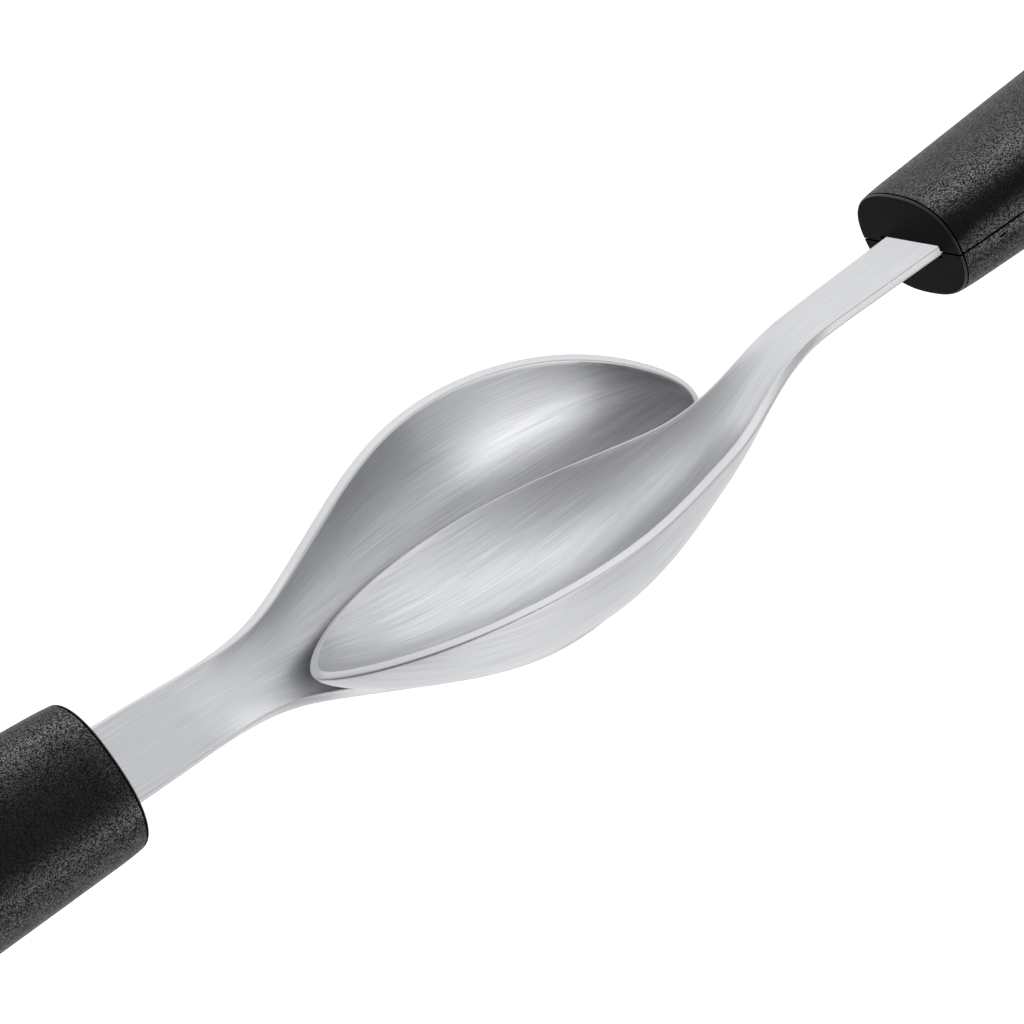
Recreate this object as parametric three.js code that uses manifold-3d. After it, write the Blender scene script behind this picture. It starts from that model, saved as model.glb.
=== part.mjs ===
// Pair of quenelle spoons, nested as a cook holds them to shape a quenelle.
// Each spoon is a pressed sheet-steel blade (bowl, neck, strip and tang in one blank) held between
// two moulded half-shells, with two dowels through the tang. Lengths are in millimetres, +Z is up.
// A spoon's own frame has x from the bowl's tip to the handle and z = 0 on the bowl's rim.
import * as THREE from "three";
import { NURBSCurve } from "three/addons/curves/NURBSCurve.js";
import { mergeVertices } from "three/addons/utils/BufferGeometryUtils.js";
import Module from "manifold-3d";

const wasm = await Module();
wasm.setup();

// Blade
const SHEET = 1.45;                     // sheet thickness
const RIM_PLAN = [[0, 0], [0, 2.85], [8, 11.7], [24, 18.4], [42, 19.3], [58, 12.7], [70, 7.25], [82, 4.3],
  [96, 6.15], [130, 6.25]];             // spline poles of the half width along the blade
const BOWL_DEPTH = [[0, 0], [0, 1.05], [10, 7.2], [26, 11.7], [44, 12.5], [60, 7.7], [76, 1.3], [92, 0]];
const SECTION_POWER = 2.8;              // 2 is a parabola across the bowl, more is a flatter floor
const NECK_START = 61.5;                // the blade climbs from the rim's level here
const NECK_END = 90;                    // and is a straight strip from here
const NECK_RISE = 6.3;
const STRIP_SLOPE = 0.074;              // climb of the strip and the handle, as a tangent
const BLADE_ROWS = 44;
const BLADE_STEPS = 14;                 // steps across the blade
const TIP_SHARE = 0.012;                // share of the rim's spline left out where it closes at the tip
const NUDGE = 0.01;                     // step across the blade for its slope
const SPLINE_DEGREE = 3;
const PROFILE_POINTS = 200;

// Tang, inside the handle
const HANDLE_AT = 109.5;                // the handle's front face, from the tip
const TANG_HALF_WIDTH = 5;
const TANG_SHOULDER = 134;
const TANG_END = 172;
const DOWELS_AT = [126, 160];
const DOWEL_R = 2;
const DOWEL_REACH = 4.6;                // above and below the tang's middle plane
const FIT = 0.3;                        // clearance between pieces
const ROUND_SIDES = 24;                 // sides of a dowel, a boss or a hole

// Handle, in a frame on the tang's middle plane with x from the front face along the grip
const GRIP_LENGTH = 104.1;
const GRIP_HALF_WIDTH = 11.3;
const GRIP_HALF_HEIGHT = 8.2;
const GRIP_RISE = 0.3;                  // the oval sits this much above the tang's middle plane
const GRIP_POWER = 2.4;                 // 2 is an ellipse
const GRIP_SWELL = [[0, 1], [20, 1.08], [45, 1.19], [75, 1.18], [95, 1.06], [105, 1.0]];
const FACE_EDGE = 0.5;                  // depth of the rounded edge of the front face
const FACE_INSET = 0.4;
const END_ROUND = 14;                   // length of the rounded rear end
const END_FLAT = 0.36;                  // the flat at the very end, as a share of the section
const WALL = 2.6;
const FRONT_WALL = 4;
const REAR_WALL = 6;
const HOLLOW_NARROW = 0.94;             // the hollow's section where the end starts to round
const HOLLOW_END = 0.62;                // and at its rear end
const SLOT_MARGIN = 0.4;                // beside the strip, in the front wall
const BOSS_R = 4.2;
const GRIP_STEPS = 32;                  // steps around the oval
const EDGE_RINGS = 3;
const GRIP_RINGS = 10;
const END_RINGS = 5;
const HOLLOW_RINGS = 3;
const CUT_REACH = 40;                   // further than any section of the handle

// Pose of the pair: the lower spoon lies level, the upper one is rolled over in its bowl
const BOWL_MIDDLE = 38;                 // from the tip, the point that both spoons turn about
const UPPER_AT = new THREE.Vector3(2.25, -5.2, 7.6);
const UPPER_ROLL = -1.067;
const UPPER_PITCH = -0.008;
const UPPER_YAW = -0.019;

const STEEL = { color: 0xc9cacc, roughness: 0.36, metalness: 1.0 };
const PLASTIC = { color: 0x17181a, roughness: 0.62, metalness: 0.0 };
const MERGE = 1e-4;                     // corners closer than this are one

/** A clamped cubic spline through the given poles. */
function spline(poles) {
  const spans = poles.length - SPLINE_DEGREE;
  const knots = new Array(SPLINE_DEGREE).fill(0);
  for (let i = 0; i <= spans; i++) knots.push(i);
  knots.push(...new Array(SPLINE_DEGREE).fill(spans));
  return new NURBSCurve(SPLINE_DEGREE, knots, poles.map(([x, y]) => new THREE.Vector4(x, y, 0, 1)));
}

/** The spline as a height over x. */
function profile(poles) {
  const points = spline(poles).getPoints(PROFILE_POINTS);
  return (x) => {
    if (x <= points[0].x) return points[0].y;
    for (let i = 1; i < points.length; i++) {
      const a = points[i - 1];
      const b = points[i];
      if (x <= b.x && b.x > a.x) return THREE.MathUtils.mapLinear(x, a.x, b.x, a.y, b.y);
    }
    return points[points.length - 1].y;
  };
}

const depthAt = profile(BOWL_DEPTH);
const swellAt = profile(GRIP_SWELL);

/** Height of the blade's edge over the rim's plane. */
function edgeHeight(x) {
  const climb = NECK_RISE + STRIP_SLOPE * (x - NECK_END);
  return THREE.MathUtils.smootherstep(x, NECK_START, NECK_END) * climb;
}

/** Point of the blade's upper surface: v runs from -1 to 1 across it. */
function bladePoint(x, halfWidth, v) {
  const dish = depthAt(x) * (1 - Math.abs(v) ** SECTION_POWER);
  return new THREE.Vector3(x, halfWidth * v, edgeHeight(x) - dish);
}

/** Stations along the blade: [x, half width], tip first. */
function bladeStations() {
  const plan = spline(RIM_PLAN);
  const stations = [];
  for (let i = 0; i <= BLADE_ROWS; i++) {
    const p = plan.getPoint(THREE.MathUtils.lerp(TIP_SHARE, 1, i / BLADE_ROWS));
    stations.push([p.x, p.y]);
  }
  stations.push([TANG_SHOULDER, TANG_HALF_WIDTH], [TANG_END, TANG_HALF_WIDTH]);
  return stations;
}

/** A closed body through rows of points. Each row is a loop, and the given faces close both ends. */
function loft(rows, endFaces) {
  const count = rows[0].length;
  const index = [];
  for (let r = 0; r + 1 < rows.length; r++) {
    for (let i = 0; i < count; i++) {
      const a = r * count + i;
      const b = r * count + ((i + 1) % count);
      index.push(a, b, b + count, a, b + count, a + count);
    }
  }
  const last = (rows.length - 1) * count;
  for (const [a, b, c] of endFaces) {
    index.push(a, c, b);
    index.push(last + a, last + b, last + c);
  }
  const corners = rows.flat().flatMap((p) => p.toArray());
  const geometry = new THREE.BufferGeometry();
  geometry.setAttribute("position", new THREE.Float32BufferAttribute(corners, 3));
  geometry.setIndex(index);
  return geometry;
}

/** Sheet-steel blade: the upper surface, thickened along its own normals. */
function bladeGeometry() {
  const stations = bladeStations();
  const rows = stations.map(([x, halfWidth], i) => {
    const before = stations[Math.max(i - 1, 0)];
    const after = stations[Math.min(i + 1, stations.length - 1)];
    const upper = [];
    const under = [];
    for (let k = 0; k <= BLADE_STEPS; k++) {
      const v = -1 + (2 * k) / BLADE_STEPS;
      const along = bladePoint(...after, v).sub(bladePoint(...before, v));
      const across = bladePoint(x, halfWidth, v + NUDGE).sub(bladePoint(x, halfWidth, v - NUDGE));
      const normal = along.cross(across).normalize();
      const p = bladePoint(x, halfWidth, v);
      upper.unshift(p);
      under.push(p.clone().addScaledVector(normal, -SHEET));
    }
    return [...upper, ...under];
  });
  const n = rows[0].length;
  const ends = [];
  for (let k = 0; k < BLADE_STEPS; k++) {
    ends.push([k, k + 1, n - 2 - k], [k, n - 2 - k, n - 1 - k]);
  }
  return loft(rows, ends);
}

/** One oval section of the handle, drawn in by `inset` and scaled by `share`. */
function ovalRow(x, inset, share) {
  const swell = swellAt(Math.max(x, 0));
  const halfWidth = (GRIP_HALF_WIDTH * swell - inset) * share;
  const halfHeight = (GRIP_HALF_HEIGHT * swell - inset) * share;
  const row = [];
  for (let k = 0; k < GRIP_STEPS; k++) {
    const a = (2 * Math.PI * k) / GRIP_STEPS;
    const c = Math.cos(a);
    const s = Math.sin(a);
    const y = halfWidth * Math.sign(c) * Math.abs(c) ** (2 / GRIP_POWER);
    const z = halfHeight * Math.sign(s) * Math.abs(s) ** (2 / GRIP_POWER);
    row.push(new THREE.Vector3(x, y, GRIP_RISE + z));
  }
  return row;
}

/** Closed oval body through [x, inset, share] stations. */
function ovalBody(stations) {
  const ends = [];
  for (let k = 1; k + 1 < GRIP_STEPS; k++) ends.push([0, k, k + 1]);
  return loft(stations.map((s) => ovalRow(...s)), ends);
}

/** Stations of the handle's outside: the edge of the face, the grip and the rounded end. */
function gripStations() {
  const stations = [];
  for (let k = EDGE_RINGS; k >= 0; k--) {
    const a = (Math.PI / 2) * (k / EDGE_RINGS);
    stations.push([FACE_EDGE * (1 - Math.sin(a)), FACE_INSET * (1 - Math.cos(a)), 1]);
  }
  const straight = GRIP_LENGTH - END_ROUND;
  for (let i = 1; i <= GRIP_RINGS; i++) {
    stations.push([THREE.MathUtils.lerp(FACE_EDGE, straight, i / GRIP_RINGS), 0, 1]);
  }
  for (let k = 1; k <= END_RINGS; k++) {
    const share = THREE.MathUtils.lerp(1, END_FLAT, k / END_RINGS);
    const turn = Math.acos(THREE.MathUtils.mapLinear(share, 1, END_FLAT, 1, 0));
    stations.push([straight + END_ROUND * Math.sin(turn), 0, share]);
  }
  return stations;
}

/** Stations of the hollow inside the handle. */
function hollowStations() {
  const straight = GRIP_LENGTH - END_ROUND;
  const stations = [];
  for (let i = 0; i < HOLLOW_RINGS; i++) {
    stations.push([THREE.MathUtils.lerp(FRONT_WALL, straight, i / HOLLOW_RINGS), WALL, 1]);
  }
  stations.push([straight, WALL, HOLLOW_NARROW], [GRIP_LENGTH - REAR_WALL, WALL, HOLLOW_END]);
  return stations;
}

/** Solid for joining and cutting. */
function solid(geometry) {
  const bare = geometry.clone();
  bare.deleteAttribute("normal");
  bare.deleteAttribute("uv");
  const merged = mergeVertices(bare, MERGE);
  return new wasm.Manifold(new wasm.Mesh({
    numProp: 3,
    vertProperties: new Float32Array(merged.attributes.position.array),
    triVerts: new Uint32Array(merged.index.array),
  }));
}

/** Geometry of a solid. */
function geometryOf(body) {
  const mesh = body.getMesh();
  const geometry = new THREE.BufferGeometry();
  geometry.setAttribute("position", new THREE.BufferAttribute(new Float32Array(mesh.vertProperties), 3));
  geometry.setIndex(new THREE.BufferAttribute(new Uint32Array(mesh.triVerts), 1));
  return geometry;
}

/** Upright round bar in the handle's frame, between two heights. */
function bar(x, radius, low, high) {
  const geometry = new THREE.CylinderGeometry(radius, radius, high - low, ROUND_SIDES);
  geometry.rotateX(Math.PI / 2);
  geometry.translate(x, 0, (low + high) / 2);
  return geometry;
}

/** Box in the handle's frame, from low to high corner. */
function block(low, high) {
  const size = high.map((h, i) => h - low[i]);
  const geometry = new THREE.BoxGeometry(...size);
  geometry.translate(...high.map((h, i) => (h + low[i]) / 2));
  return geometry;
}

/** One half-shell of the handle: side is 1 above the seam and -1 below it. */
function shellGeometry(side) {
  const span = (near, far) => (side > 0 ? [near, far] : [-far, -near]);
  const [low, high] = span(FIT / 2, CUT_REACH);
  const half = solid(block([-CUT_REACH, -CUT_REACH, low], [GRIP_LENGTH + CUT_REACH, CUT_REACH, high]));
  const slotHeight = SHEET / 2 + FIT;
  let cavity = solid(ovalBody(hollowStations()));
  for (const at of DOWELS_AT) {
    cavity = cavity.subtract(solid(bar(at - HANDLE_AT, BOSS_R, ...span(slotHeight, CUT_REACH))));
  }
  let shell = solid(ovalBody(gripStations())).intersect(half).subtract(cavity);
  const slotHalf = RIM_PLAN[RIM_PLAN.length - 1][1] + SLOT_MARGIN;
  const slot = block([-CUT_REACH, -slotHalf, -slotHeight], [FRONT_WALL + FIT, slotHalf, slotHeight]);
  shell = shell.subtract(solid(slot));
  for (const at of DOWELS_AT) {
    shell = shell.subtract(solid(bar(at - HANDLE_AT, DOWEL_R + FIT, ...span(-FIT, DOWEL_REACH + FIT))));
  }
  return geometryOf(shell);
}

/** Blade with the dowel holes through its tang. */
function drilledBlade() {
  let blade = solid(bladeGeometry());
  for (const at of DOWELS_AT) {
    const hole = bar(at - HANDLE_AT, DOWEL_R + FIT, -DOWEL_REACH, DOWEL_REACH);
    hole.applyMatrix4(handleFrame().matrixWorld);
    blade = blade.subtract(solid(hole));
  }
  return geometryOf(blade);
}

/** Frame of the handle within the spoon: on the tang's middle plane, along the strip. */
function handleFrame() {
  const frame = new THREE.Group();
  const lift = edgeHeight(HANDLE_AT) - (SHEET / 2) * Math.hypot(1, STRIP_SLOPE);
  frame.position.set(HANDLE_AT, 0, lift);
  frame.rotation.y = -Math.atan(STRIP_SLOPE);
  frame.updateMatrixWorld(true);
  return frame;
}

/** Named mesh of one piece. */
function piece(name, geometry, finish) {
  const mesh = new THREE.Mesh(geometry, new THREE.MeshStandardMaterial(finish));
  mesh.name = name;
  return mesh;
}

/** One whole spoon with the given name, turning point at its bowl's middle. */
function spoon(name) {
  const whole = new THREE.Group();
  const body = new THREE.Group();
  body.position.x = -BOWL_MIDDLE;
  body.add(piece(`${name}_blade`, drilledBlade(), STEEL));
  const handle = handleFrame();
  handle.add(piece(`${name}_handle_top_shell`, shellGeometry(1), PLASTIC));
  handle.add(piece(`${name}_handle_bottom_shell`, shellGeometry(-1), PLASTIC));
  DOWELS_AT.forEach((at, i) => {
    const dowel = bar(at - HANDLE_AT, DOWEL_R, -DOWEL_REACH, DOWEL_REACH);
    handle.add(piece(`${name}_${i ? "rear" : "front"}_dowel`, dowel, STEEL));
  });
  body.add(handle);
  whole.add(body);
  return whole;
}

const lower = spoon("lower_spoon");
lower.rotation.z = Math.PI;

const upper = spoon("upper_spoon");
upper.rotation.set(UPPER_ROLL, UPPER_PITCH, UPPER_YAW, "ZYX");
upper.position.copy(UPPER_AT);

const pair = new THREE.Group();
pair.add(lower, upper);

// The origin is under the middle of the pair, at the level of its lowest point.
const reach = new THREE.Box3().setFromObject(pair, true);
const middle = reach.getCenter(new THREE.Vector3());
pair.position.set(-middle.x, -middle.y, -reach.min.z);

export default pair;
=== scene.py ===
"""Dresses a nested pair of quenelle spoons: brushed bowls, ground rims and grained black grips.

Sizes in the classes are in millimetres and MM turns them into metres, the scene's unit. A spoon's
own frame has x from the bowl's tip to the handle and z = 0 on the bowl's rim. A handle's own frame
lies on the middle plane of the tang, with x from the front face along the grip.
"""
import bisect
import logging
import math
from dataclasses import dataclass, field
from enum import Enum
from functools import lru_cache

import bpy
from mathutils import Euler, Matrix, Vector


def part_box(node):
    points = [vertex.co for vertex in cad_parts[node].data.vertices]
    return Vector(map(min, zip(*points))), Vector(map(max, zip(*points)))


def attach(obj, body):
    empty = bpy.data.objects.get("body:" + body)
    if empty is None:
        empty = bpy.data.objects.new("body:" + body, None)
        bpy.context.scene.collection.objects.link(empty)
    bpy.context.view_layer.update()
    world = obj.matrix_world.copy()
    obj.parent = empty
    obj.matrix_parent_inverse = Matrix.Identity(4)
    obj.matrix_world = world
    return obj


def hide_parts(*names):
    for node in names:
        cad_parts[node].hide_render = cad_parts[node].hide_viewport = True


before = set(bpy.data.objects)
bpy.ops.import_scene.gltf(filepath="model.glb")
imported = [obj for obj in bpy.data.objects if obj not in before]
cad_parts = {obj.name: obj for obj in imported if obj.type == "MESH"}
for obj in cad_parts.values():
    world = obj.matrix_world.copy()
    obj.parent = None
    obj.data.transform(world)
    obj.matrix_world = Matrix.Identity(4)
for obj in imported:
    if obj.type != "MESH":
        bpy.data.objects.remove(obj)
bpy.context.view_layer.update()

MM = 0.001
TINY = 1e-6
HALVINGS = 40
log = logging.getLogger("quenelle_spoons")

Colour = tuple[float, float, float]
Ring = tuple[float, float, float]


class Half(Enum):
    """Half of a handle, above or below its seam."""

    TOP = 1
    BOTTOM = -1


class Surface(Enum):
    """Surface of a half-shell, by its material slot."""

    SKIN = 0
    FACE = 1
    PAINTED_SHADE = 2
    LIP = 3


class Member(Enum):
    """Spoon of the pair."""

    LOWER = "lower_spoon"
    UPPER = "upper_spoon"


TURNS = {
    Member.LOWER: Euler((0, 0, math.pi)),
    Member.UPPER: Euler((-1.067, -0.008, -0.019), "XYZ"),
}


def spaced(start: float, stop: float, count: int) -> list[float]:
    """Spaces places evenly, with both ends among them.

    Args:
        start: The first place.
        stop: The last place.
        count: How many gaps lie between them.

    Returns:
        The places.
    """
    return [start + (stop - start) * k / count for k in range(count + 1)]


def activate(piece: bpy.types.Object) -> None:
    """Makes a piece the only selected object and the active one.

    Args:
        piece: The object that the next operators act on.
    """
    bpy.ops.object.select_all(action="DESELECT")
    piece.select_set(True)
    bpy.context.view_layer.objects.active = piece


def apply_modifiers(piece: bpy.types.Object) -> None:
    """Applies every modifier of a piece, in order.

    Args:
        piece: The object that keeps the result in its mesh.
    """
    activate(piece)
    for modifier in list(piece.modifiers):
        bpy.ops.object.modifier_apply(modifier=modifier.name)


def cut(piece: bpy.types.Object, cutter: bpy.types.Object) -> None:
    """Takes the cutter's volume out of a piece and deletes the cutter.

    Args:
        piece: The object that is cut.
        cutter: A closed mesh object in the same frame.
    """
    modifier = piece.modifiers.new("cut", "BOOLEAN")
    modifier.operation = "DIFFERENCE"
    modifier.solver = "EXACT"
    modifier.object = cutter
    apply_modifiers(piece)
    bpy.data.objects.remove(cutter)


def block(low: tuple[float, float, float], high: tuple[float, float, float]) -> bpy.types.Object:
    """Adds a box that a piece is cut with.

    Args:
        low: Lowest corner, in millimetres.
        high: Highest corner, in millimetres.

    Returns:
        The box, with its size applied.
    """
    middle = [(a + b) / 2 * MM for a, b in zip(low, high)]
    size = [(b - a) * MM for a, b in zip(low, high)]
    bpy.ops.object.select_all(action="DESELECT")
    bpy.ops.mesh.primitive_cube_add(size=1.0, location=middle, scale=size)
    bpy.ops.object.transform_apply(location=True, rotation=True, scale=True)
    return bpy.context.active_object


def settle(piece: bpy.types.Object, place: Matrix, name: str) -> None:
    """Moves a finished piece into the row frame, with its place in its mesh.

    Args:
        piece: The object, in its own frame.
        place: The own frame in the row frame.
        name: The piece's name.
    """
    piece.name = name
    piece.data.name = name
    piece.matrix_world = place
    activate(piece)
    bpy.ops.object.transform_apply(location=True, rotation=True, scale=True)


@dataclass(frozen=True)
class PoleCurve:
    """Clamped cubic spline over its poles, as a flexible batten is held by weights."""

    poles: tuple[tuple[float, float], ...]

    def at(self, share: float) -> Vector:
        """Finds a point of the curve.

        Args:
            share: Place on the curve, 0 at its start and 1 at its end.

        Returns:
            The point, as x and height.
        """
        spans = len(self.poles) - 3
        knots = [0] * 3 + list(range(spans + 1)) + [spans] * 3
        u = min(max(share, 0.0), 1.0) * spans
        first = min(int(u), spans - 1)
        points = [Vector(self.poles[first + j]) for j in range(4)]
        for level in range(1, 4):
            for j in range(3, level - 1, -1):
                start = knots[first + j]
                stop = knots[first + j + 4 - level]
                points[j] = points[j - 1].lerp(points[j], (u - start) / (stop - start))
        return points[3]

    @lru_cache(maxsize=None)
    def over(self, x: float) -> float:
        """Finds the curve's height over x, by halving.

        Args:
            x: Distance along the curve's base.

        Returns:
            The height there, or the nearest end's height outside the curve.
        """
        low, high = 0.0, 1.0
        for _ in range(HALVINGS):
            middle = (low + high) / 2
            if self.at(middle).x < x:
                low = middle
            else:
                high = middle
        return self.at((low + high) / 2).y


class Streaks:
    """Shader group of fine streaks along one direction, as a belt leaves them on steel."""

    name = "belt_streaks"
    spreads = (("Fine", 1.0), ("Broad", 7.0))
    detail = 3.0
    roughness = 0.6

    def tree(self) -> bpy.types.NodeTree:
        """Gives the group, built on its first use.

        Returns:
            The node group, with Place, Length, Width and Seed inputs and Fine and Broad outputs.
        """
        if self.name in bpy.data.node_groups:
            return bpy.data.node_groups[self.name]
        tree = bpy.data.node_groups.new(self.name, "ShaderNodeTree")
        tree.interface.new_socket("Place", in_out="INPUT", socket_type="NodeSocketVector")
        for label, value in (("Length", 20.0), ("Width", 0.2), ("Seed", 0.0)):
            socket = tree.interface.new_socket(label, in_out="INPUT", socket_type="NodeSocketFloat")
            socket.default_value = value
        for label, _ in self.spreads:
            tree.interface.new_socket(label, in_out="OUTPUT", socket_type="NodeSocketFloat")
        nodes, links = tree.nodes, tree.links
        inputs = nodes.new("NodeGroupInput")
        outputs = nodes.new("NodeGroupOutput")
        for label, spread in self.spreads:
            size = nodes.new("ShaderNodeCombineXYZ")
            wide = nodes.new("ShaderNodeMath")
            wide.operation = "MULTIPLY"
            wide.inputs[1].default_value = spread
            links.new(inputs.outputs["Width"], wide.inputs[0])
            links.new(inputs.outputs["Length"], size.inputs[0])
            links.new(wide.outputs[0], size.inputs[1])
            size.inputs[2].default_value = 1.0
            cell = nodes.new("ShaderNodeVectorMath")
            cell.operation = "DIVIDE"
            links.new(inputs.outputs["Place"], cell.inputs[0])
            links.new(size.outputs[0], cell.inputs[1])
            noise = nodes.new("ShaderNodeTexNoise")
            noise.noise_dimensions = "4D"
            noise.inputs["Scale"].default_value = 1.0
            noise.inputs["Detail"].default_value = self.detail
            noise.inputs["Roughness"].default_value = self.roughness
            links.new(cell.outputs[0], noise.inputs["Vector"])
            links.new(inputs.outputs["Seed"], noise.inputs["W"])
            links.new(noise.outputs["Fac"], outputs.inputs[label])
        return tree


class Grain:
    """Shader group of a fine even grain, as spark erosion and grinding leave it."""

    name = "fine_grain"
    usual_size = 0.3
    detail = 2.0
    roughness = 0.55
    pit_edge = 0.65
    pit_core = 0.25

    def tree(self) -> bpy.types.NodeTree:
        """Gives the group, built on its first use.

        Returns:
            The node group, with Place and Size inputs and Height and Speck outputs.
        """
        if self.name in bpy.data.node_groups:
            return bpy.data.node_groups[self.name]
        tree = bpy.data.node_groups.new(self.name, "ShaderNodeTree")
        tree.interface.new_socket("Place", in_out="INPUT", socket_type="NodeSocketVector")
        size = tree.interface.new_socket("Size", in_out="INPUT", socket_type="NodeSocketFloat")
        size.default_value = self.usual_size * MM
        for label in ("Height", "Speck"):
            tree.interface.new_socket(label, in_out="OUTPUT", socket_type="NodeSocketFloat")
        nodes, links = tree.nodes, tree.links
        inputs = nodes.new("NodeGroupInput")
        outputs = nodes.new("NodeGroupOutput")
        cell = nodes.new("ShaderNodeVectorMath")
        cell.operation = "DIVIDE"
        links.new(inputs.outputs["Place"], cell.inputs[0])
        links.new(inputs.outputs["Size"], cell.inputs[1])
        noise = nodes.new("ShaderNodeTexNoise")
        noise.inputs["Scale"].default_value = 1.0
        noise.inputs["Detail"].default_value = self.detail
        noise.inputs["Roughness"].default_value = self.roughness
        links.new(cell.outputs[0], noise.inputs["Vector"])
        links.new(noise.outputs["Fac"], outputs.inputs["Height"])
        pits = nodes.new("ShaderNodeTexVoronoi")
        pits.inputs["Scale"].default_value = 1.0
        links.new(cell.outputs[0], pits.inputs["Vector"])
        spot = nodes.new("ShaderNodeMapRange")
        spot.inputs["From Min"].default_value = self.pit_edge
        spot.inputs["From Max"].default_value = self.pit_core
        links.new(pits.outputs["Distance"], spot.inputs["Value"])
        share = nodes.new("ShaderNodeSeparateColor")
        links.new(pits.outputs["Color"], share.inputs["Color"])
        speck = nodes.new("ShaderNodeMath")
        speck.operation = "MULTIPLY"
        links.new(spot.outputs["Result"], speck.inputs[0])
        links.new(share.outputs["Red"], speck.inputs[1])
        links.new(speck.outputs[0], outputs.inputs["Speck"])
        return tree


class Paint:
    """A material's node tree, with a Principled shader and short ways to wire it.

    Most of a noise pattern lies within the band, which is spread to the full range.
    """

    band = (0.3, 0.7)

    def __init__(self, name: str) -> None:
        """Starts an empty material.

        Args:
            name: The material's name.
        """
        self.material = bpy.data.materials.new(name)
        self.material.use_nodes = True
        self.nodes = self.material.node_tree.nodes
        self.links = self.material.node_tree.links
        self.nodes.clear()
        self.shader = self.nodes.new("ShaderNodeBsdfPrincipled")
        output = self.nodes.new("ShaderNodeOutputMaterial")
        self.links.new(self.shader.outputs["BSDF"], output.inputs["Surface"])

    def group(
        self, tree: bpy.types.NodeTree, place: bpy.types.NodeSocket, **values: float
    ) -> bpy.types.Node:
        """Places a shared group.

        Args:
            tree: The group's tree.
            place: The socket that gives the pattern's coordinates.
            values: The group's other inputs, by name.

        Returns:
            The group's node.
        """
        node = self.nodes.new("ShaderNodeGroup")
        node.node_tree = tree
        self.links.new(place, node.inputs["Place"])
        for label, value in values.items():
            node.inputs[label].default_value = value
        return node

    def plain(self, values: dict[str, float]) -> None:
        """Sets shader inputs that are even over the surface.

        Args:
            values: The values, by the input's name.
        """
        for label, value in values.items():
            self.shader.inputs[label].default_value = value

    def spread(self, value: bpy.types.NodeSocket, low: float, high: float) -> bpy.types.NodeSocket:
        """Spreads a noise pattern between two values.

        Args:
            value: The pattern.
            low: The value where the pattern is low.
            high: The value where it is high.

        Returns:
            The spread pattern.
        """
        node = self.nodes.new("ShaderNodeMapRange")
        for label, level in zip(("From Min", "From Max", "To Min", "To Max"), (*self.band, low, high)):
            node.inputs[label].default_value = level
        self.links.new(value, node.inputs["Value"])
        return node.outputs["Result"]

    def roughen(self, value: bpy.types.NodeSocket, low: float, high: float) -> None:
        """Spreads the roughness by a pattern.

        Args:
            value: The pattern.
            low: The roughness where the pattern is low.
            high: The roughness where it is high.
        """
        self.links.new(self.spread(value, low, high), self.shader.inputs["Roughness"])

    def tint(self, value: bpy.types.NodeSocket, low: Colour, high: Colour) -> None:
        """Mixes the base colour between two colours by a pattern.

        Args:
            value: The pattern.
            low: The colour where the pattern is low.
            high: The colour where it is high.
        """
        mix = self.nodes.new("ShaderNodeMix")
        mix.data_type = "RGBA"
        mix.inputs["A"].default_value = (*low, 1.0)
        mix.inputs["B"].default_value = (*high, 1.0)
        self.links.new(self.spread(value, 0.0, 1.0), mix.inputs["Factor"])
        self.links.new(mix.outputs["Result"], self.shader.inputs["Base Color"])

    def grained(
        self, size: float, dark: Colour, light: Colour, rough: tuple[float, float]
    ) -> bpy.types.Node:
        """Lays the fine grain over object coordinates, in colour and roughness.

        Args:
            size: The grain's size.
            dark: The base colour where the grain is low.
            light: The base colour where it is high.
            rough: The roughness where the grain is low, and where it is high.

        Returns:
            The grain's node.
        """
        place = self.nodes.new("ShaderNodeTexCoord").outputs["Object"]
        grain = self.group(Grain().tree(), place, Size=size * MM)
        self.tint(grain.outputs["Height"], dark, light)
        self.roughen(grain.outputs["Height"], *rough)
        return grain

    def bump(self, height: bpy.types.NodeSocket, share: float, depth: float) -> None:
        """Roughs the surface by a height pattern.

        Args:
            height: The pattern.
            share: Share of the bump that shows.
            depth: The pattern's height.
        """
        node = self.nodes.new("ShaderNodeBump")
        node.inputs["Strength"].default_value = share
        node.inputs["Distance"].default_value = depth * MM
        self.links.new(height, node.inputs["Height"])
        self.links.new(node.outputs["Normal"], self.shader.inputs["Normal"])

    def glint(
        self,
        specks: bpy.types.NodeSocket,
        base: float,
        peak: float,
        turns: tuple[tuple[float, float], ...],
    ) -> None:
        """Lets specks shine through a clear coat, by how far the surface turns away from the eye.

        Args:
            specks: The pattern of specks.
            base: The share of the gloss that lies between the specks.
            peak: The level of the pattern at which a speck shines in full.
            turns: The coat's weight by turn, which is 0 seen flat on and 1 edge on.
        """
        turn = self.nodes.new("ShaderNodeLayerWeight")
        turn.inputs["Blend"].default_value = 0.5
        gloss = self.nodes.new("ShaderNodeValToRGB")
        stops = gloss.color_ramp.elements
        for _ in turns[2:]:
            stops.new(0.5)
        for stop, (position, level) in zip(stops, turns):
            stop.position = position
            stop.color = (level, level, level, 1)
        self.links.new(turn.outputs["Facing"], gloss.inputs["Fac"])
        spread = self.nodes.new("ShaderNodeMapRange")
        spread.inputs["From Max"].default_value = peak
        spread.inputs["To Min"].default_value = base
        self.links.new(specks, spread.inputs["Value"])
        weight = self.nodes.new("ShaderNodeMath")
        weight.operation = "MULTIPLY"
        self.links.new(gloss.outputs["Color"], weight.inputs[0])
        self.links.new(spread.outputs["Result"], weight.inputs[1])
        self.links.new(weight.outputs[0], self.shader.inputs["Coat Weight"])


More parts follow.
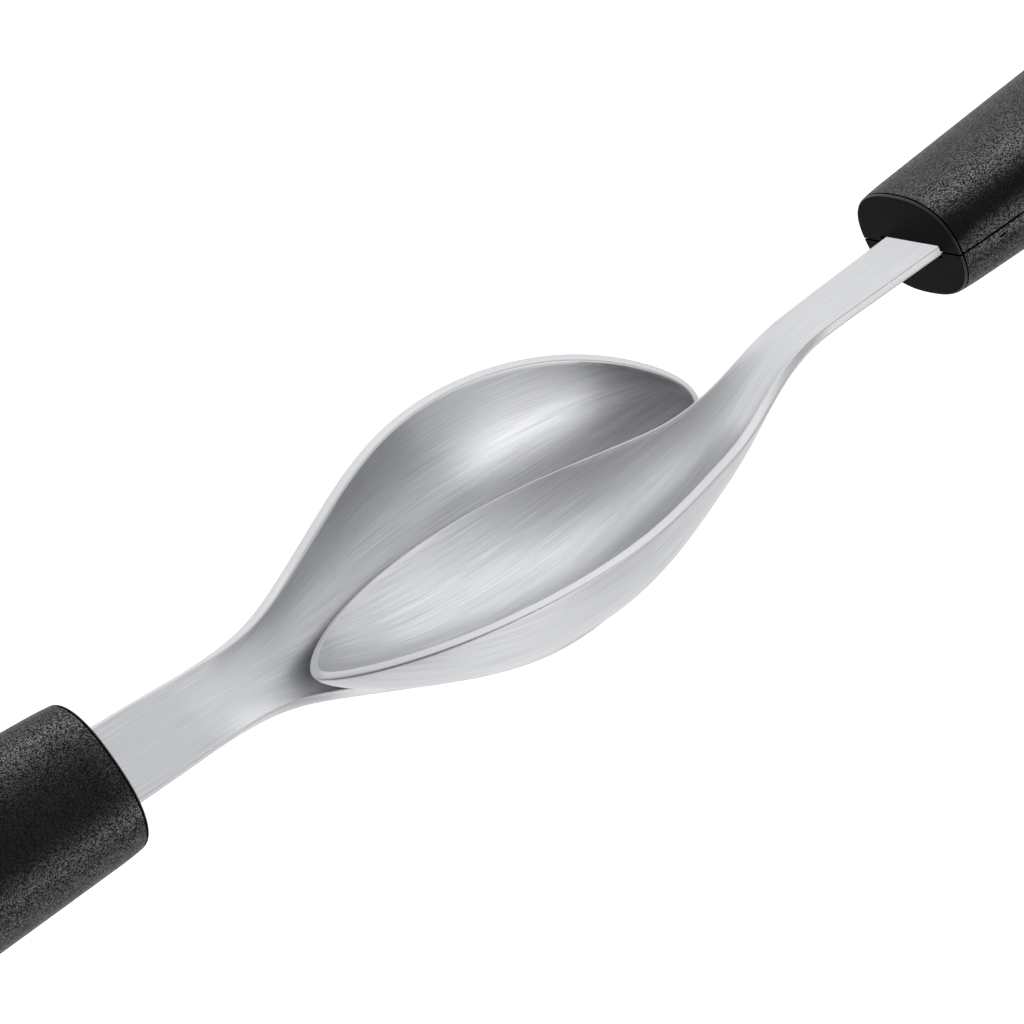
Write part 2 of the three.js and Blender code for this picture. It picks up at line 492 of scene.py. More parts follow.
@dataclass(frozen=True)
class BrushedSteel:
    """Satin stainless, brushed lengthwise: the faces of the bowl, neck and strip."""

    name: str = "brushed_steel"
    uv: str = "brush"
    dark: Colour = (0.56, 0.566, 0.582)
    light: Colour = (0.81, 0.816, 0.832)
    rough: tuple[float, float] = (0.29, 0.4)
    anisotropy: float = 0.66
    anisotropy_turn: float = 0.25
    streak_length: float = 14.0
    streak_width: float = 0.2
    bump_share: float = 0.7
    bump_depth: float = 0.02

    def material(self) -> bpy.types.Material:
        """Builds the material on the blade's own lengthwise map."""
        paint = Paint(self.name)
        place = paint.nodes.new("ShaderNodeUVMap")
        place.uv_map = self.uv
        streaks = paint.group(
            Streaks().tree(), place.outputs["UV"], Length=self.streak_length, Width=self.streak_width
        )
        paint.tint(streaks.outputs["Fine"], self.dark, self.light)
        paint.roughen(streaks.outputs["Broad"], *self.rough)
        paint.bump(streaks.outputs["Fine"], self.bump_share, self.bump_depth)
        paint.plain({
            "Metallic": 1.0,
            "Anisotropic": self.anisotropy,
            "Anisotropic Rotation": self.anisotropy_turn,
        })
        tangent = paint.nodes.new("ShaderNodeTangent")
        tangent.direction_type = "UV_MAP"
        tangent.uv_map = self.uv
        paint.links.new(tangent.outputs["Tangent"], paint.shader.inputs["Tangent"])
        return paint.material


@dataclass(frozen=True)
class GroundSteel:
    """Bright ground edge of the sheet, with the grinder's fine grain."""

    name: str = "ground_rim"
    dark: Colour = (0.65, 0.655, 0.665)
    light: Colour = (0.765, 0.768, 0.775)
    rough: tuple[float, float] = (0.34, 0.5)
    grain: float = 0.22
    bump_share: float = 0.35
    bump_depth: float = 0.03

    def material(self) -> bpy.types.Material:
        """Builds the material on object coordinates."""
        paint = Paint(self.name)
        grain = paint.grained(self.grain, self.dark, self.light, self.rough)
        paint.bump(grain.outputs["Height"], self.bump_share, self.bump_depth)
        paint.plain({"Metallic": 1.0})
        return paint.material


@dataclass(frozen=True)
class PlainSteel:
    """Plain drawn steel of the hidden dowels, with fine upright streaks."""

    name: str = "dowel_steel"
    dark: Colour = (0.5, 0.505, 0.515)
    light: Colour = (0.66, 0.665, 0.675)
    rough: tuple[float, float] = (0.3, 0.45)
    streak: float = 0.3
    seed: float = 4.0

    def material(self) -> bpy.types.Material:
        """Builds the material on object coordinates."""
        paint = Paint(self.name)
        place = paint.nodes.new("ShaderNodeTexCoord").outputs["Object"]
        size = self.streak * MM
        streaks = paint.group(Streaks().tree(), place, Length=size, Width=size, Seed=self.seed)
        paint.tint(streaks.outputs["Fine"], self.dark, self.light)
        paint.roughen(streaks.outputs["Fine"], *self.rough)
        paint.plain({"Metallic": 1.0})
        return paint.material


@dataclass(frozen=True)
class GrainedPlastic:
    """Black plastic from a spark-eroded mould, which glints in fine specks."""

    name: str = "grained_black"
    dark: Colour = (0.0014, 0.0014, 0.0018)
    light: Colour = (0.006, 0.006, 0.0074)
    rough: tuple[float, float] = (0.35, 0.5)
    grain: float = 0.2
    bump_share: float = 0.8
    bump_depth: float = 0.2
    specular: float = 0.06
    sheen: float = 0.08
    sheen_rough: float = 0.4
    glint_base: float = 0.05
    glint_peak: float = 0.48
    glint_turns: tuple[tuple[float, float], ...] = ((0.11, 0.06), (0.28, 1.0), (0.6, 0.42))
    glint_index: float = 2.8
    glint_rough: float = 0.3

    def material(self) -> bpy.types.Material:
        """Builds the material on object coordinates."""
        paint = Paint(self.name)
        grain = paint.grained(self.grain, self.dark, self.light, self.rough)
        paint.bump(grain.outputs["Height"], self.bump_share, self.bump_depth)
        paint.glint(grain.outputs["Speck"], self.glint_base, self.glint_peak, self.glint_turns)
        paint.plain({
            "Coat IOR": self.glint_index,
            "Coat Roughness": self.glint_rough,
            "Specular IOR Level": self.specular,
            "Sheen Weight": self.sheen,
            "Sheen Roughness": self.sheen_rough,
        })
        return paint.material


@dataclass(frozen=True)
class SmoothPlastic:
    """Black plastic from a smooth mould: the handle's front face and its lip."""

    name: str = "smooth_black"
    dark: Colour = (0.0015, 0.0015, 0.002)
    light: Colour = (0.004, 0.004, 0.005)
    rough: tuple[float, float] = (0.4, 0.5)
    grain: float = 0.5
    bump_share: float = 0.3
    bump_depth: float = 0.05
    specular: float = 0.03

    def material(self) -> bpy.types.Material:
        """Builds the material on object coordinates."""
        paint = Paint(self.name)
        grain = paint.grained(self.grain, self.dark, self.light, self.rough)
        paint.bump(grain.outputs["Height"], self.bump_share, self.bump_depth)
        paint.plain({"Specular IOR Level": self.specular})
        return paint.material


@dataclass(frozen=True)
class PaintedShadePlastic:
    """Painted shade: dull black without gloss on the seam, the slot and the hollow, where little light
    gets in.
    """

    name: str = "painted_shade_black"
    dark: Colour = (0.0008, 0.0008, 0.0009)
    light: Colour = (0.002, 0.002, 0.0022)
    rough: tuple[float, float] = (0.8, 0.95)
    grain: float = 0.5

    def material(self) -> bpy.types.Material:
        """Builds the material on object coordinates."""
        paint = Paint(self.name)
        paint.grained(self.grain, self.dark, self.light, self.rough)
        paint.plain({"Specular IOR Level": 0.0})
        return paint.material


Finish = BrushedSteel | GroundSteel | PlainSteel | GrainedPlastic | SmoothPlastic | PaintedShadePlastic


@lru_cache(maxsize=None)
def finished(finish: Finish) -> bpy.types.Material:
    """Gives a finish's material, built on its first use.

    Args:
        finish: The finish.

    Returns:
        Its material.
    """
    return finish.material()


@dataclass
class Blade:
    """Pressed sheet: bowl, neck, strip and tang in one blank."""

    sheet: float = 1.45
    rim_plan: PoleCurve = PoleCurve((
        (0, 0), (0, 2.85), (8, 11.7), (24, 18.4), (42, 19.3),
        (58, 12.7), (70, 7.25), (82, 4.3), (96, 6.15), (130, 6.25),
    ))
    bowl_depth: PoleCurve = PoleCurve((
        (0, 0), (0, 1.05), (10, 7.2), (26, 11.7), (44, 12.5), (60, 7.7), (76, 1.3), (92, 0),
    ))
    section_power: float = 2.8
    neck_start: float = 61.5
    neck_end: float = 90.0
    neck_rise: float = 6.3
    strip_slope: float = 0.074
    tang_half_width: float = 5.0
    tang_shoulder: float = 134.0
    tang_end: float = 172.0
    nose_share: float = 0.086
    nose_rows: int = 26
    edge_band: float = 0.5
    rows: int = 200
    steps: int = 48
    tang_rows: int = 12
    edge_round: float = 0.32
    edge_segments: int = 3
    edge_angle: float = 50.0
    smooth_angle: float = 40.0
    drift_limit: float = 0.2
    uv: str = "brush"

    def edge_height(self, x: float) -> float:
        """Gives the height of the blade's edge over the rim's plane.

        Args:
            x: Distance from the tip.

        Returns:
            The height.
        """
        share = min(max((x - self.neck_start) / (self.neck_end - self.neck_start), 0.0), 1.0)
        smooth = share ** 3 * (share * (share * 6 - 15) + 10)
        return smooth * (self.neck_rise + self.strip_slope * (x - self.neck_end))

    def raised(self, spot: Vector) -> Vector:
        """Lifts a spot of the plan onto the upper face.

        Args:
            spot: Distance from the tip, and from the middle line.

        Returns:
            The point of the upper face.
        """
        across = min(abs(spot.y) / max(self.rim_plan.over(spot.x), TINY), 1.0)
        dish = self.bowl_depth.over(spot.x) * (1 - across ** self.section_power)
        return Vector((spot.x, spot.y, self.edge_height(spot.x) - dish))

    def nose(self) -> list[Vector]:
        """Lists the rim's spots around the tip, which are the blank's front row."""
        spots = []
        for step in range(self.steps + 1):
            v = 2 * step / self.steps - 1
            spot = self.rim_plan.at(self.nose_share * abs(v))
            spots.append(Vector((spot.x, math.copysign(spot.y, v))))
        return spots

    def side(self) -> list[Vector]:
        """Lists the spots of one edge, row by row from the nose to the tang's end."""
        last = self.rows - self.tang_rows
        spots = []
        for row in range(last + 1):
            spots.append(self.rim_plan.at(self.nose_share + (1 - self.nose_share) * row / last))
        end = Vector(self.rim_plan.poles[-1])
        for x in spaced(end.x, self.tang_end, self.tang_rows)[1:]:
            narrow = min((x - end.x) / (self.tang_shoulder - end.x), 1.0)
            spots.append(Vector((x, end.y + (self.tang_half_width - end.y) * narrow)))
        return spots

    def inset(self, line: list[Vector]) -> list[Vector]:
        """Moves the spots of the rim into the blank, by the width of the edge band.

        Args:
            line: Spots of the rim, with the blank on their right.

        Returns:
            The moved spots.
        """
        moved = []
        for k, spot in enumerate(line):
            along = line[min(k + 1, len(line) - 1)] - line[max(k - 1, 0)]
            moved.append(spot + Vector((along.y, -along.x)).normalized() * self.edge_band)
        return moved

    @staticmethod
    def between(line: list[Vector], place: float) -> Vector:
        """Reads a line of spots between two of them.

        Args:
            line: The spots.
            place: Number of the spot, with a fraction.

        Returns:
            The spot there.
        """
        first = min(int(place), len(line) - 2)
        return line[first].lerp(line[first + 1], place - first)

    def sections(self) -> list[list[Vector]]:
        """Lays out the blank and presses it.

        The front row follows the nose, the next rows straighten, and a band of even width runs along
        the rim.

        Returns:
            The points of the upper face, row by row from edge to edge.
        """
        nose, side = self.nose(), self.side()
        inner = self.inset(nose + side[1:])
        inner_nose, inner_side = inner[:self.steps + 1], inner[self.steps:]
        corner = inner_nose[-1]
        rows = [nose]
        for row in range(1, self.rows + 1):
            bent = (1 - min((row - 1) / self.nose_rows, 1.0)) ** 2
            edge = self.between(inner_side, row - bent)
            spots = [Vector((side[row].x, -side[row].y))]
            for step in range(1, self.steps):
                share = (step - 1) / (self.steps - 2)
                front = self.between(inner_nose, share * self.steps)
                y = edge.y * (bent * front.y / corner.y + (1 - bent) * (2 * share - 1))
                spots.append(Vector((edge.x - bent * (corner.x - front.x), y)))
            rows.append(spots + [side[row]])
        return [[self.raised(spot) for spot in spots] for spots in rows]

    def drift(self, sections: list[list[Vector]], row: int, step: int) -> float:
        """Finds how far a brush that is drawn lengthwise slips sideways on the surface.

        Args:
            sections: The points of the upper face, row by row.
            row: The row.
            step: The point across.

        Returns:
            Sideways slip for each millimetre along.
        """
        along = sections[min(row + 1, self.rows)][step] - sections[max(row - 1, 0)][step]
        across = sections[row][min(step + 1, self.steps)] - sections[row][max(step - 1, 0)]
        normal = along.cross(across).normalized()
        return -normal.x * normal.y / max(1 - normal.x ** 2, self.drift_limit)

    def brush_lines(self, sections: list[list[Vector]]) -> list[list[float]]:
        """Follows the brush's lines from the bowl's widest row to both ends.

        Args:
            sections: The points of the upper face, row by row.

        Returns:
            For each point, the place of its line across the widest row.
        """
        widest = max(range(self.rows + 1), key=lambda row: sections[row][-1].y)
        lines: list[list[float]] = [[] for _ in sections]
        around = [0.0]
        for a, b in zip(sections[widest], sections[widest][1:]):
            around.append(around[-1] + (b - a).length)
        lines[widest] = [distance - around[-1] / 2 for distance in around]
        for rows in (range(widest + 1, self.rows + 1), range(widest - 1, -1, -1)):
            for row in rows:
                before = row - 1 if row > widest else row + 1
                spots = []
                for step, (old, new) in enumerate(zip(sections[before], sections[row])):
                    spots.append(old.y + self.drift(sections, before, step) * (new.x - old.x))
                lines[row] = [self.blend(spots, lines[before], point.y) for point in sections[row]]
        return lines

    @staticmethod
    def blend(spots: list[float], values: list[float], spot: float) -> float:
        """Reads a table of values at a spot, and runs on straight past its ends.

        Args:
            spots: Rising places.
            values: The values there.
            spot: Where the value is wanted.

        Returns:
            The value.
        """
        step = min(max(bisect.bisect(spots, spot) - 1, 0), len(spots) - 2)
        gap = max(spots[step + 1] - spots[step], TINY)
        return values[step] + (values[step + 1] - values[step]) * (spot - spots[step]) / gap

    def press(self, sheet: bpy.types.Object) -> None:
        """Presses a flat grid into the blade's upper face and maps its length and brush lines.

        Args:
            sheet: A unit grid with this blade's rows and steps.
        """
        mesh = sheet.data
        sections = self.sections()
        lines = self.brush_lines(sections)
        brush = mesh.uv_layers.new(name=self.uv)
        place = {}
        for vertex in mesh.vertices:
            row = round((vertex.co.x + 0.5) * self.rows)
            step = round((vertex.co.y + 0.5) * self.steps)
            place[vertex.index] = (sections[row][step].x, lines[row][step])
            vertex.co = sections[row][step] * MM
        for loop in mesh.loops:
            brush.data[loop.index].uv = place[loop.vertex_index]
        mesh.uv_layers.remove(mesh.uv_layers[0])

    def build(self) -> bpy.types.Object:
        """Builds the blade in the spoon's own frame.

        Returns:
            The blade, with its ground edge on a second material slot.
        """
        bpy.ops.object.select_all(action="DESELECT")
        bpy.ops.mesh.primitive_grid_add(
            x_subdivisions=self.rows, y_subdivisions=self.steps, size=1.0
        )
        sheet = bpy.context.active_object
        self.press(sheet)
        for finish in (BrushedSteel(), GroundSteel()):
            sheet.data.materials.append(finished(finish))
        thick = sheet.modifiers.new("sheet", "SOLIDIFY")
        thick.thickness = self.sheet * MM
        thick.offset = -1.0
        thick.material_offset_rim = 1
        edge = sheet.modifiers.new("edge", "BEVEL")
        edge.width = self.edge_round * MM
        edge.segments = self.edge_segments
        edge.limit_method = "ANGLE"
        edge.angle_limit = math.radians(self.edge_angle)
        edge.use_clamp_overlap = False
        edge.material = 1
        apply_modifiers(sheet)
        bpy.ops.object.shade_smooth_by_angle(angle=math.radians(self.smooth_angle))
        sheet.modifiers.new("flat_faces", "WEIGHTED_NORMAL").keep_sharp = True
        apply_modifiers(sheet)
        return sheet


@dataclass
class Handle:
    """Moulded grip of two half-shells around the tang."""

    blade: Blade
    front: float = 109.5
    length: float = 104.1
    half_width: float = 11.3
    half_height: float = 8.2
    rise: float = 0.3
    power: float = 2.4
    swell: PoleCurve = PoleCurve((
        (0, 1), (20, 1.08), (45, 1.19), (75, 1.18), (95, 1.06), (105, 1.0),
    ))
    face_edge: float = 0.32
    face_inset: float = 0.26
    groove: float = 0.24
    groove_depth: float = 0.4
    groove_draft: float = 0.03
    groove_margin: float = 0.3
    front_ease: float = 0.16
    front_reach: float = 4.0
    slit_low: tuple[float, float, float] = (6.9, -20.0, -1.2)
    slit_high: tuple[float, float, float] = (8.0, -11.2, -0.9)
    slit_margin: float = 0.01
    end_round: float = 14.0
    end_power: float = 0.55
    end_pole: float = 0.02
    wall: float = 2.6
    seam: float = 0.3
    fit: float = 0.3
    slot_margin: float = 0.4
    front_wall: float = 4.0
    face_band: float = 0.5
    face_turn: float = 0.95
    seam_turn: float = 0.99
    smooth_angle: float = 28.0
    skin_reach: float = 0.8
    hollow_end: float = 0.8
    points: int = 112
    lip_rings: int = 6
    front_rings: int = 6
    grip_rings: int = 16
    end_rings: int = 12
    hollow_rings: int = 8
    # The lip is a lighter, glossier copy of the face's black: partly real gloss, partly a painted
    # highlight along the edge.
    lip: SmoothPlastic = SmoothPlastic(
        "lip_highlight_black", dark=(0.004, 0.004, 0.005), light=(0.01, 0.01, 0.012), specular=0.6
    )

    def frame(self) -> Matrix:
        """Gives the handle's frame in the spoon's frame, in metres."""
        slope = self.blade.strip_slope
        lift = self.blade.edge_height(self.front) - self.blade.sheet / 2 * math.hypot(1, slope)
        seat = Matrix.Translation(Vector((self.front, 0, lift)) * MM)
        return seat @ Matrix.Rotation(-math.atan(slope), 4, "Y")

    def stations(self) -> list[Ring]:
        """Lists the rings of the outside as place, inset and share of the section."""
        rings = [(0.0, self.face_inset + self.face_band, 1.0)]
        for k in range(self.lip_rings + 1):
            angle = math.pi / 2 * (1 - k / self.lip_rings)
            inset = self.face_inset * (1 - math.cos(angle))
            rings.append((self.face_edge * (1 - math.sin(angle)), inset, 1.0))
        start = self.face_edge + self.groove
        rings.append((self.face_edge + self.groove_draft, self.groove_depth, 1.0))
        rings.append((start, self.groove_depth, 1.0))
        rings.append((start + self.groove_draft, 0.0, 1.0))
        start += self.groove_margin
        straight = self.length - self.end_round
        rings += [(x, 0.0, 1.0) for x in spaced(start, self.front_reach, self.front_rings)[:-1]]
        rings += [(x, 0.0, 1.0) for x in spaced(self.front_reach, straight, self.grip_rings)]
        for k in range(1, self.end_rings + 1):
            turn = math.pi / 2 * k / self.end_rings
            share = max(math.cos(turn) ** self.end_power, self.end_pole)
            rings.append((straight + self.end_round * math.sin(turn), 0.0, share))
        return rings

    def hollow_stations(self) -> list[Ring]:
        """Lists the rings of the hollow inside the grip."""
        straight = self.length - self.end_round
        rings = [(x, self.wall, 1.0) for x in spaced(self.front_wall, straight, self.hollow_rings)]
        return rings + [(straight + self.end_round / 3, self.wall, self.hollow_end)]

    def half_sizes(self, ring: Ring) -> tuple[float, float]:
        """Gives a ring's half width and half height, eased in towards the front.

        Args:
            ring: Place, inset and share of the section.

        Returns:
            Half width and half height.
        """
        x, inset, share = ring
        swell = self.swell.over(x)
        inset += self.front_ease * max(1 - x / self.front_reach, 0.0) ** 2
        return (self.half_width * swell - inset) * share, (self.half_height * swell - inset) * share

    def draw(self, rings: list[Ring]) -> bpy.types.Object:
        """Draws the oval out along the grip, ring by ring, and closes both ends.

        Args:
            rings: Place, inset and share of the section, from the front.

        Returns:
            One closed mesh, in the handle's frame.
        """
        bpy.ops.object.select_all(action="DESELECT")
        bpy.ops.mesh.primitive_circle_add(
            vertices=self.points, radius=1.0, rotation=(math.pi / 2, 0, math.pi / 2)
        )
        grip = bpy.context.active_object
        bpy.ops.object.transform_apply(location=True, rotation=True, scale=True)
        width, height = self.half_sizes(rings[0])
        for vertex in grip.data.vertices:
            bulge = [math.copysign(abs(c) ** (2 / self.power), c) for c in vertex.co]
            vertex.co = Vector((rings[0][0], bulge[1] * width, self.rise + bulge[2] * height)) * MM
        bpy.ops.object.mode_set(mode="EDIT")
        bpy.ops.mesh.select_all(action="SELECT")
        bpy.ops.mesh.edge_face_add()
        bpy.ops.mesh.select_all(action="SELECT")
        before = rings[0]
        for ring in rings[1:]:
            old, new = self.half_sizes(before), self.half_sizes(ring)
            step = ((ring[0] - before[0]) * MM, 0, 0)
            bpy.ops.mesh.extrude_region_move(TRANSFORM_OT_translate={"value": step})
            bpy.ops.transform.resize(
                value=(1, new[0] / old[0], new[1] / old[1]),
                center_override=(ring[0] * MM, 0, self.rise * MM),
            )
            before = ring
        bpy.ops.mesh.select_all(action="SELECT")
        bpy.ops.mesh.normals_make_consistent(inside=False)
        bpy.ops.object.mode_set(mode="OBJECT")
        return grip

    def halve(self, grip: bpy.types.Object, half: Half) -> None:
        """Keeps one half of the grip.

        Args:
            grip: The whole grip.
            half: The half that stays.
        """
        side = half.value
        activate(grip)
        bpy.ops.object.mode_set(mode="EDIT")
        bpy.ops.mesh.select_all(action="SELECT")
        bpy.ops.mesh.bisect(
            plane_co=(0, 0, side * self.seam / 2 * MM),
            plane_no=(0, 0, side),
            use_fill=True,
            clear_inner=True,
        )
        bpy.ops.object.mode_set(mode="OBJECT")

    def openings(self) -> list[bpy.types.Object]:
        """Makes the cutters of the hollow, of the tang's slot and of the small slit beside the seam."""
        half_width = self.blade.rim_plan.poles[-1][1] + self.slot_margin
        half_height = self.blade.sheet / 2 + self.fit
        front, back = -self.front_wall, 2 * self.front_wall
        slot = block((front, -half_width, -half_height), (back, half_width, half_height))
        return [self.draw(self.hollow_stations()), slot, block(self.slit_low, self.slit_high)]

    def surface(self, polygon: bpy.types.MeshPolygon) -> Surface:
        """Tells which of the handle's surfaces a face belongs to.

        Args:
            polygon: A face of a half-shell, in the handle's frame.

        Returns:
            The kind of surface.
        """
        spot = polygon.center / MM
        if polygon.normal.x < -self.face_turn and spot.x < self.face_edge:
            return Surface.FACE
        width, height = self.half_sizes((spot.x, 0.0, 1.0))
        reach = abs(spot.y / width) ** self.power + abs((spot.z - self.rise) / height) ** self.power
        outside = spot.x > self.length - self.end_round or reach > self.skin_reach
        seam = abs(polygon.normal.z) > self.seam_turn and abs(spot.z) < self.seam
        groove = self.face_edge < spot.x < self.face_edge + self.groove + self.groove_draft
        sides = zip(self.slit_low, spot, self.slit_high)
        slit = all(low - self.slit_margin < at < high + self.slit_margin for low, at, high in sides)
        # Seam, groove, slit and inner faces take painted shade: a glossless black that keeps them dark.
        if seam or groove or slit or not outside:
            return Surface.PAINTED_SHADE
        return Surface.LIP if spot.x < self.face_edge else Surface.SKIN

    def finish(self, shell: bpy.types.Object) -> None:
        """Gives a half-shell its grained skin, smooth front face, painted shade in its gaps and a
        lighter, glossier lip that is partly a painted highlight.

        Args:
            shell: The half-shell, in the handle's frame.
        """
        shell.data.materials.clear()
        for finish in (GrainedPlastic(), SmoothPlastic(), PaintedShadePlastic(), self.lip):
            shell.data.materials.append(finished(finish))
        for polygon in shell.data.polygons:
            polygon.material_index = self.surface(polygon).value
        activate(shell)
        bpy.ops.object.shade_smooth_by_angle(angle=math.radians(self.smooth_angle))

    def build(self, half: Half) -> bpy.types.Object:
        """Builds one half-shell in the handle's frame.

        Args:
            half: The half above or below the seam.

        Returns:
            The half-shell.
        """
        shell = self.draw(self.stations())
        self.halve(shell, half)
        for cutter in self.openings():
            cut(shell, cutter)
        self.finish(shell)
        return shell


@dataclass
class Spoon:
    """One spoon of the pair: a blade, two half-shells and two dowels."""

    member: Member
    front_dowel: float = 126.0
    blade: Blade = field(default_factory=Blade)

    def place(self) -> Matrix:
        """Gives the spoon's frame in the row frame, seated on its front dowel in the solids.

        Returns:
            The frame, in metres.
        """
        low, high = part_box(f"{self.member.value}_front_dowel")
        handle = Handle(self.blade)
        own = handle.frame() @ Vector(((self.front_dowel - handle.front) * MM, 0, 0))
        turn = TURNS[self.member].to_matrix().to_4x4()
        return Matrix.Translation((low + high) / 2 - turn @ own) @ turn

    def build(self) -> list[bpy.types.Object]:
        """Builds the spoon's visible pieces and puts them in place of their solids.

        Returns:
            The blade and the two half-shells.
        """
        name = self.member.value
        place = self.place()
        handle = Handle(self.blade)
        blade = self.blade.build()
        self.install(blade, place, f"{name}_blade")
        pieces = [blade]
        for half in Half:
            shell = handle.build(half)
            node = f"{name}_handle_{half.name.lower()}_shell"
            self.install(shell, place @ handle.frame(), node)
            # Mirrored in the strip, the black shell would smear its end.
            shell.visible_glossy = False
            pieces.append(shell)
        return pieces

    def install(self, piece: bpy.types.Object, place: Matrix, node: str) -> None:
        """Seats a piece, lets it ride on the spoon and stand for its solid.

        Args:
            piece: The finished piece, in its own frame.
            place: The own frame in the row frame.
            node: The solid that the piece stands for.
        """
        settle(piece, place, f"{node}_dressed")
        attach(piece, self.member.value)
        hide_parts(node)

    def dress(self) -> None:
        """Gives the dowels, which stay as their solids, their steel."""
        for end in ("front", "rear"):
            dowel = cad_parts[f"{self.member.value}_{end}_dowel"]
            dowel.data.materials.clear()
            dowel.data.materials.append(finished(PlainSteel()))


@dataclass
class Studio:
    """White floor far under the held pair, a soft sky, softboxes and the camera."""

    floor_drop: float = 320.0
    floor_size: float = 8000.0
    floor_white: float = 0.86
    floor_rough: float = 0.9
    seen_glow: float = 0.7
    # Painted reflection: how strongly the floor glows in mirror rays, on its near and far side.
    near_painted_reflection: float = 0.4
    far_painted_reflection: float = 0.63
    near_row: float = -400.0
    far_row: float = 600.0
    aim: tuple[float, float, float] = (2.467, -0.195, 15.206)
    azimuth: float = -172.448
    elevation: float = 63.164
    roll: float = -48.432
    distance: float = 918.26
    field_of_view: float = 8.7105
    lens_reach: tuple[float, float] = (50.0, 50000.0)
    lamp_distance: float = 800.0
    near_softbox: bpy.types.Object | None = None
    sky_azimuth: float = 48.0
    sky_elevation: float = 10.0
    sky_tint: Colour = (0.985, 0.992, 1.0)
    sky_stops: tuple[tuple[float, float], ...] = (
        (0.3, 0.14), (0.5, 0.2), (0.6, 0.31), (0.78, 0.75), (0.88, 0.96), (0.97, 0.88),
    )

    def floor(self) -> None:
        """Lays the floor, white to the camera and plain white to the light; to mirror rays it adds a
        painted reflection, a glow that is dimmer on the near side and brighter on the far side.
        """
        bpy.ops.object.select_all(action="DESELECT")
        bpy.ops.mesh.primitive_plane_add(
            size=self.floor_size * MM, location=(0, 0, -self.floor_drop * MM)
        )
        floor = bpy.context.active_object
        floor.name = "studio_floor"
        bpy.ops.object.transform_apply(location=True, rotation=True, scale=True)
        paint = Paint("studio_white")
        paint.shader.inputs["Base Color"].default_value = (*[self.floor_white] * 3, 1)
        paint.plain({"Roughness": self.floor_rough})
        paint.shader.inputs["Emission Color"].default_value = (1, 1, 1, 1)
        path = paint.nodes.new("ShaderNodeLightPath")
        seen = paint.nodes.new("ShaderNodeMath")
        seen.operation = "MULTIPLY"
        seen.inputs[1].default_value = self.seen_glow
        paint.links.new(path.outputs["Is Camera Ray"], seen.inputs[0])
        spot = paint.nodes.new("ShaderNodeSeparateXYZ")
        paint.links.new(paint.nodes.new("ShaderNodeTexCoord").outputs["Object"], spot.inputs[0])
        # Painted reflection: mirror rays see the floor glow, dimmer on the near side and brighter on
        # the far side.
        glow = paint.nodes.new("ShaderNodeMapRange")
        for label, value in (
            ("From Min", self.near_row * MM), ("From Max", self.far_row * MM),
            ("To Min", self.near_painted_reflection), ("To Max", self.far_painted_reflection),
        ):
            glow.inputs[label].default_value = value
        paint.links.new(spot.outputs["Y"], glow.inputs["Value"])
        mirrored = paint.nodes.new("ShaderNodeMath")
        mirrored.operation = "MULTIPLY_ADD"
        paint.links.new(path.outputs["Is Glossy Ray"], mirrored.inputs[0])
        paint.links.new(glow.outputs["Result"], mirrored.inputs[1])
        paint.links.new(seen.outputs[0], mirrored.inputs[2])
        paint.links.new(mirrored.outputs[0], paint.shader.inputs["Emission Strength"])
        floor.data.materials.append(paint.material)

    def sky(self) -> None:
        """Sets a soft grey sky that is bright on the far side and dim behind the camera."""
        world = bpy.data.worlds.new("soft_sky")
        bpy.context.scene.world = world
        world.use_nodes = True
        nodes, links = world.node_tree.nodes, world.node_tree.links
        nodes.clear()
        place = nodes.new("ShaderNodeTexCoord")
        along = nodes.new("ShaderNodeVectorMath")
        along.operation = "DOT_PRODUCT"
        along.inputs[1].default_value = self.towards(self.sky_azimuth, self.sky_elevation)
        links.new(place.outputs["Generated"], along.inputs[0])
        ramp = nodes.new("ShaderNodeValToRGB")
        stops = ramp.color_ramp.elements
        for _ in self.sky_stops[2:]:
            stops.new(0.5)
        for stop, (position, level) in zip(stops, self.sky_stops):
            stop.position = position
            stop.color = (*[level * share for share in self.sky_tint], 1)
        spread = nodes.new("ShaderNodeMapRange")
        spread.inputs["From Min"].default_value = -1.0
        links.new(along.outputs["Value"], spread.inputs["Value"])
        links.new(spread.outputs["Result"], ramp.inputs["Fac"])
        background = nodes.new("ShaderNodeBackground")
        links.new(ramp.outputs["Color"], background.inputs["Color"])
        output = nodes.new("ShaderNodeOutputWorld")
        links.new(background.outputs["Background"], output.inputs["Surface"])

    def towards(self, azimuth: float, elevation: float) -> Vector:
        """Gives a direction from the pair.

        Args:
            azimuth: Degrees from +X towards +Y.
            elevation: Degrees above the horizon.

        Returns:
            The unit vector.
        """
        flat, rise = math.radians(azimuth), math.radians(elevation)
        reach = math.cos(rise)
        return Vector((reach * math.cos(flat), reach * math.sin(flat), math.sin(rise)))

    def softbox(
        self, name: str, azimuth: float, elevation: float, size: tuple[float, float], radiance: float
    ) -> bpy.types.Object:
        """Hangs a softbox that faces the pair.

        Args:
            name: The lamp's name.
            azimuth: Its direction from the pair, in degrees from +X towards +Y.
            elevation: Its height over the horizon, in degrees.
            size: Its width and height, in millimetres.
            radiance: How bright its cloth is, where 1 is white.

        Returns:
            The lamp.
        """
        lamp = bpy.data.lights.new(name, "AREA")
        lamp.shape = "RECTANGLE"
        lamp.size, lamp.size_y = size[0] * MM, size[1] * MM
        lamp.energy = radiance * math.pi * lamp.size * lamp.size_y
        box = bpy.data.objects.new(name, lamp)
        bpy.context.scene.collection.objects.link(box)
        towards = self.towards(azimuth, elevation)
        box.location = (Vector(self.aim) + towards * self.lamp_distance) * MM
        box.rotation_euler = towards.to_track_quat("Z", "Y").to_euler()
        return box

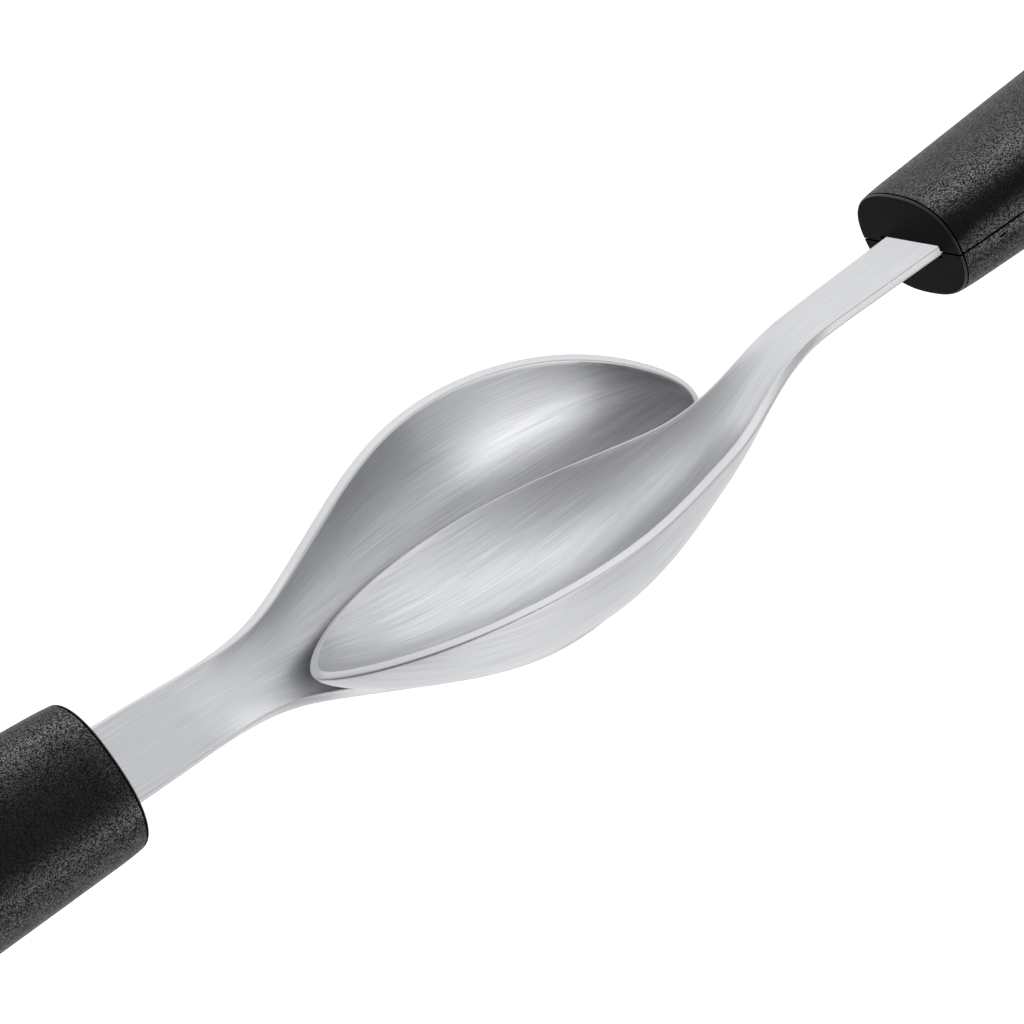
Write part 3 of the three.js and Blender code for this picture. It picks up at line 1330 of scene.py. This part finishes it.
    def camera(self) -> None:
        """Sets the camera at the photograph's view."""
        lens = bpy.data.cameras.new("photo_view")
        lens.sensor_fit = "HORIZONTAL"
        lens.angle = math.radians(self.field_of_view)
        lens.clip_start, lens.clip_end = [reach * MM for reach in self.lens_reach]
        camera = bpy.data.objects.new("photo_view", lens)
        bpy.context.scene.collection.objects.link(camera)
        towards = self.towards(self.azimuth, self.elevation)
        upright = (Vector((0, 0, 1)) - towards * towards.z).normalized()
        roll = math.radians(self.roll)
        up = upright * math.cos(roll) + upright.cross(towards) * math.sin(roll)
        turn = Matrix((up.cross(towards), up, towards)).transposed().to_4x4()
        eye = Vector(self.aim) + towards * self.distance
        camera.matrix_world = Matrix.Translation(eye * MM) @ turn
        bpy.context.scene.camera = camera

    def shine_past(self, piece: bpy.types.Object) -> None:
        """Lets the near softbox reach behind a piece, which throws no shadow from it.

        Args:
            piece: The piece that the light passes by.
        """
        spared = bpy.data.collections.new(f"{self.near_softbox.name}_spared")
        spared.objects.link(piece)
        spared.collection_objects[0].light_linking.link_state = "EXCLUDE"
        self.near_softbox.light_linking.blocker_collection = spared

    def build(self) -> None:
        """Builds the whole set."""
        self.floor()
        self.sky()
        self.near_softbox = self.softbox(
            "near_softbox", azimuth=-89.0, elevation=29.0, size=(500.0, 1080.0), radiance=1.25
        )
        self.softbox("side_softbox", azimuth=-50.0, elevation=36.0, size=(320.0, 460.0), radiance=1.3)
        self.softbox("far_softbox", azimuth=58.0, elevation=34.0, size=(900.0, 700.0), radiance=0.3)
        self.camera()
        bpy.context.scene.view_settings.view_transform = "Standard"


def main() -> None:
    """Builds the studio and both spoons."""
    logging.basicConfig(level=logging.INFO, format="%(name)s: %(message)s")
    studio = Studio()
    studio.build()
    for member in Member:
        spoon = Spoon(member)
        pieces = spoon.build()
        for piece in pieces:
            log.info("%s: %d faces", piece.name, len(piece.data.polygons))
        spoon.dress()
        if member is Member.UPPER:
            studio.shine_past(pieces[0])


if __name__ == "__main__":
    main()
